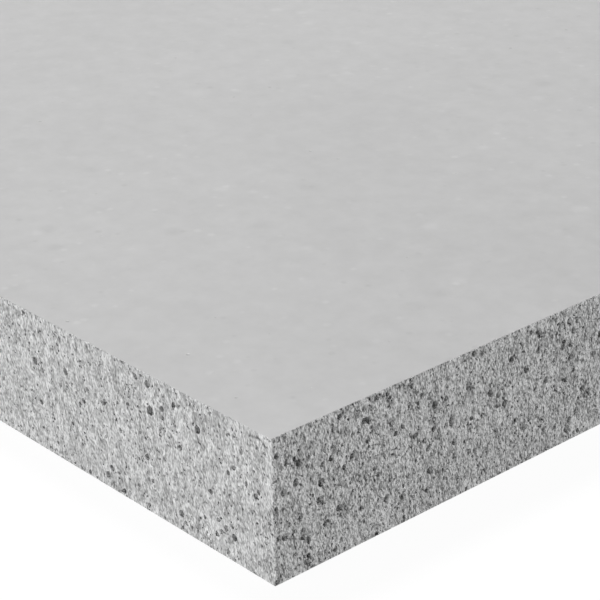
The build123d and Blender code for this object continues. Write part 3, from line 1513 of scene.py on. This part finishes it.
    def _finish(self, mesh: Mesh) -> None:
        """Smooths the crumbs and the voids' walls, notes how deep each point lies, and lays out the bake map.

        Args:
            mesh: the cut bar's mesh.
        """
        points, corners = read_points(mesh), read_corners(mesh)
        run, inset = self._plan_of(points)
        height, below = points[:, 2], self.size.thickness - points[:, 2]
        depth = np.stack([inset, run, self.run - run, height, below]).min(0)
        # This depth drives the core's painted shade, which darkens points the deeper they lie.
        write_value(mesh, "sunk", np.clip(depth, 0.0, self.deepest) / MM)
        mesh.attributes.remove(mesh.attributes["crumb"])
        on = [gap < TOUCH for gap in (inset, height, below, BAR_DEPTH - inset)]
        on.append(np.abs(np.minimum(run, self.run - run) - inset) < TOUCH / 2)
        flat = [where[corners].all(1) for where in on]
        shade(mesh, np.logical_or.reduce(flat))
        self._lay_out(mesh, flat[3] | flat[4])
        mesh.update()

    def _map_rows(self) -> list[MapRow]:
        """Lays the edge out in strips on the bake map, with a large one next to the near corner.

        Returns:
            The strips.
        """
        to = self.layout
        tall = self.size.thickness + to.spare
        level, made, start = to.floor, [], 0.0
        if self.is_near:
            first = 1.0 / (self.close_run + to.margin)
            made.append(MapRow(start, first, level))
            level += tall * first
            start = self.close_run
        each = (self.run - start) / self.rows
        scale = min(1.0 / (each + to.margin), (to.ceiling - level) / (self.rows * tall))
        return made + [MapRow(start + i * each, scale, level + i * tall * scale) for i in range(self.rows)]

    def _lay_out(self, mesh: Mesh, hidden: np.ndarray) -> None:
        """Writes the bake map: the edge in strips, with a thin strip of the face above and of the back below.

        Args:
            mesh: the finished bar.
            hidden: which polygons lie against the plate or the next bar.
        """
        slot = np.empty(len(mesh.polygons), np.int32)
        mesh.polygons.foreach_get("material_index", slot)
        points = read_points(mesh)[read_corners(mesh)]
        to, top, height = self.layout, self.size.thickness, points[:, :, 2]
        along, inset = self._plan_of(points)
        if self.near_end:
            along = self.run - along
        rows = self._map_rows()
        starts, scales, levels = np.array([(r.start, r.scale, r.level) for r in rows]).T
        row = np.clip(np.searchsorted(starts, along.mean(1), side="right") - 1, 0, len(rows) - 1)[:, None]
        above, below = to.foot + top + to.gap + inset * to.squash, to.foot - to.gap - inset * to.squash
        band = np.where(height > top / 2, above, below)
        rise = np.where((slot == 1)[:, None], band, to.foot + height)
        dark = to.dark + to.dark_rise * height / top + to.dark_depth * inset / BAR_DEPTH
        far = to.dark_start + to.dark_width * along / self.run
        u = np.where(hidden[:, None], far, (along - starts[row] + to.margin / 2) * scales[row])
        write_map(mesh, u, np.where(hidden[:, None], dark, levels[row] + rise * scales[row]))


@dataclass
class Plate(Piece):
    """The board inside its edges, with its two smooth faces and their pinholes.

    The skin is how thick the face's own finish is. The fill is how much of the bake map's width and of each
    half of its height a face takes up. The rim lies in thin strips between them: where the first begins, how
    far apart they are and how tall.
    """

    pitch: float = 60.0 * MM
    skin: float = 0.5 * MM
    fill: tuple[float, float] = (0.996, 0.985)
    strips: tuple[float, float, float] = (0.4975, 0.0012, 0.0008)

    @property
    def name(self) -> str:
        """The piece's name."""
        return "face_and_back"

    def _divide(self, half: float) -> list[float]:
        """Where the plate is divided, from half its length or half its width."""
        count = round(2 * half / self.pitch)
        return [-half + 2 * half * i / count for i in range(count + 1)]

    def _base(self) -> Mesh:
        """Makes the plain plate as a closed mesh.

        Returns:
            The mesh.
        """
        columns, lines = (self._divide(half) for half in self.size.outline(BAR_DEPTH))
        across, along = len(columns) - 1, len(lines) - 1
        work = bmesh.new()
        grids = []
        for height in (self.size.thickness, 0.0):
            grid = {(i, j): work.verts.new((a, b, height)) for i, a in enumerate(columns) for j, b in enumerate(lines)}
            for i in range(across):
                for j in range(along):
                    quad = [grid[i, j], grid[i + 1, j], grid[i + 1, j + 1], grid[i, j + 1]]
                    work.faces.new(quad if height else quad[::-1])
            grids.append(grid)
        above, below = grids
        rim = [(i, 0) for i in range(across)] + [(across, j) for j in range(along)]
        rim += [(i, along) for i in range(across, 0, -1)] + [(0, j) for j in range(along, 0, -1)]
        for a, b in zip(rim, rim[1:] + rim[:1]):
            work.faces.new([below[a], below[b], above[b], above[a]])
        mesh = bpy.data.meshes.new(self.name + "_base")
        work.to_mesh(mesh)
        work.free()
        mesh.materials.append(self.face)
        mesh.materials.append(self.core)
        return mesh

    def _values(self, guides: VoidGuides) -> dict[str, Any]:
        """What the tree's inputs are set to, for the plate.

        Args:
            guides: where the cuts may lie.

        Returns:
            The values by the names of the inputs.
        """
        top = self.size.thickness
        x, y = self.size.outline(BAR_DEPTH)
        return self.plan.values(PinholeTree.families, {}) | {
            "Sown Area": guides.top, "Corner": tuple(self.size.near_corner(top)), "Box Low": (-x, -y, 0.0),
            "Box High": (x, y, top), "Core Low": self.skin, "Core High": top - self.skin,
        }

    def _finish(self, mesh: Mesh) -> None:
        """Smooths the pinholes and writes the bake map: the face above, the back below, the rim between.

        Args:
            mesh: the cut plate's mesh.
        """
        points = read_points(mesh)[read_corners(mesh)]
        x, y = self.size.outline(BAR_DEPTH)
        top, height, middle = self.size.thickness, points[:, :, 2], points.mean(1)
        level = (top - height < TOUCH).all(1) | (height < TOUCH).all(1)
        side, end = ((np.abs(np.abs(points[:, :, i]) - far) < TOUCH).all(1) for i, far in ((0, x), (1, y)))
        shade(mesh, level | side | end)
        wide, tall = self.fill
        right, up = 0.5 * points[:, :, 0] / x * wide, 0.5 * points[:, :, 1] / y
        u = 0.5 + np.where(side[:, None], up * wide, right)
        v = 0.25 + 0.5 * up * tall + 0.5 * (middle[:, 2] > top / 2)[:, None]
        strip = 2 * end + (middle[:, :2].sum(1) > 0)
        first, apart, rise = self.strips
        rim = first + apart * strip[:, None] + rise * height / top
        write_map(mesh, u, np.where((side | end)[:, None], rim, v))
        mesh.update()


# The studio


@dataclass(frozen=True)
class Sun:
    """One soft, distant light: its name, its strength, where it stands and how wide it is in degrees.

    A light without sheen is left out of reflections, so that a low one puts no glare on the face.
    """

    name: str
    strength: float
    stands: tuple[float, float, float]
    width: float
    sheen: bool = False

    def build(self) -> None:
        """Makes the light."""
        lamp = bpy.data.lights.new(self.name, "SUN")
        lamp.energy = self.strength
        lamp.angle = math.radians(self.width)
        made = add_object(self.name, lamp)
        made.rotation_mode = "QUATERNION"
        made.rotation_quaternion = Vector(self.stands).to_track_quat("Z", "Y")
        made.visible_glossy = self.sheen


@dataclass(frozen=True)
class Studio:
    """The floor, the light and the camera. The camera's angles are in degrees, and its lens is in millimetres."""

    size: BoardSize
    ambient: float = 0.15
    suns: tuple[Sun, ...] = (
        Sun("overhead_sun", 2.27, (-0.479, 0.288, 0.829), 20.0, sheen=True),
        Sun("corner_sun", 1.35, (0.48, -0.875, 0.05), 10.0),
        Sun("front_fill", 1.35, (-0.25, -0.95, 0.10), 40.0),
        Sun("right_fill", 0.58, (0.93, 0.35, 0.10), 30.0),
    )
    floor_reach: float = 40.0
    opening: float = 6 * MM
    azimuth: float = 48.865
    elevation: float = 24.783
    roll: float = -1.335
    lens: float = 122.68
    from_corner: tuple[float, float, float] = (0.0991518, -0.0834917, 0.0833620)

    def build(self) -> None:
        """Makes the floor, the light and the camera."""
        self._floor()
        self._light()
        self._camera()

    def _floor(self) -> None:
        """Makes the floor, with an opening under the board so that its back can be seen from below."""
        points = rectangle(self.floor_reach, self.floor_reach, 0.0)
        points += rectangle(*self.size.outline(self.opening), 0.0)
        mesh = bpy.data.meshes.new("studio_floor")
        mesh.from_pydata(points, [], [(0, 1, 5, 4), (1, 2, 6, 5), (2, 3, 7, 6), (3, 0, 4, 7)])
        mesh.materials.append(FloorFinish().build())
        add_object("studio_floor", mesh)

    def _light(self) -> None:
        """Makes an even sky, white where it is seen, and the suns."""
        world = bpy.data.worlds.new("studio_sky")
        bpy.context.scene.world = world
        world.use_nodes = True
        world.node_tree.nodes.clear()
        g = Graph(world.node_tree)
        sky = g.node("ShaderNodeBackground", None, {
            "Color": (1.0, 1.0, 1.0, 1.0), "Strength": g.fit(g.seen(), 0.0, 1.0, (self.ambient, 1.0))})
        g.feed(g.node("ShaderNodeOutputWorld").inputs["Surface"], sky.outputs[0])
        for sun in self.suns:
            sun.build()

    def _camera(self) -> None:
        """Sets the camera close to the near corner, looking down on the face."""
        a, e, r = (math.radians(v) for v in (self.azimuth, self.elevation, self.roll))
        back = Vector((math.sin(a) * math.cos(e), -math.cos(a) * math.cos(e), math.sin(e)))
        level = Vector((math.cos(a), math.sin(a), 0.0))
        upright = back.cross(level)
        right = level * math.cos(r) + upright * math.sin(r)
        up = upright * math.cos(r) - level * math.sin(r)
        turn = Matrix((right, up, back)).transposed()
        lens = bpy.data.cameras.new("studio_camera")
        lens.sensor_width = 36.0
        lens.lens = self.lens
        lens.clip_start, lens.clip_end = 0.01, 100.0
        camera = add_object("studio_camera", lens)
        stands = self.size.near_corner(0.0) + Vector(self.from_corner)
        camera.matrix_world = Matrix.Translation(stands) @ turn.to_4x4()
        bpy.context.scene.camera = camera


def main() -> None:
    """Builds the dressed board and its studio in order."""
    logging.basicConfig(level=logging.INFO, format="%(name)s: %(message)s")
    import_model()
    bpy.context.scene.view_settings.view_transform = "Standard"
    size = BoardSize.from_box(*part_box(NODE))
    plan = VoidPlan()
    # across is the short ends' copy of the core, whose paler tone and stronger contrast are painted light and shade
    along, across, face = LONG_CORE.build(), END_CORE_WITH_PAINTED_LIGHT.build(), FaceFinish().build()
    guides = VoidGuides(size)
    voids, pinholes = VoidTree(), PinholeTree()
    pieces = [Plate(size, plan, along, face).build(pinholes, guides)]
    for side in Side:
        core, rows = (along, LONG_ROWS) if side.is_long else (across, END_ROWS)
        bar = EdgeBar(size, plan, core, face, side, rows, OPENNESS.get(side, {}))
        pieces.append(bar.build(voids, guides))
    for helper in (guides, voids, pinholes):
        helper.remove()
    for piece in pieces:
        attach(piece, BODY)
        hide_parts(NODE)
        piece.data.calc_loop_triangles()
        log.info("%s: %d triangles", piece.name, len(piece.data.loop_triangles))
    Studio(size).build()
    log.info("studio: floor, sky, suns and camera")


if __name__ == "__main__":
    main()
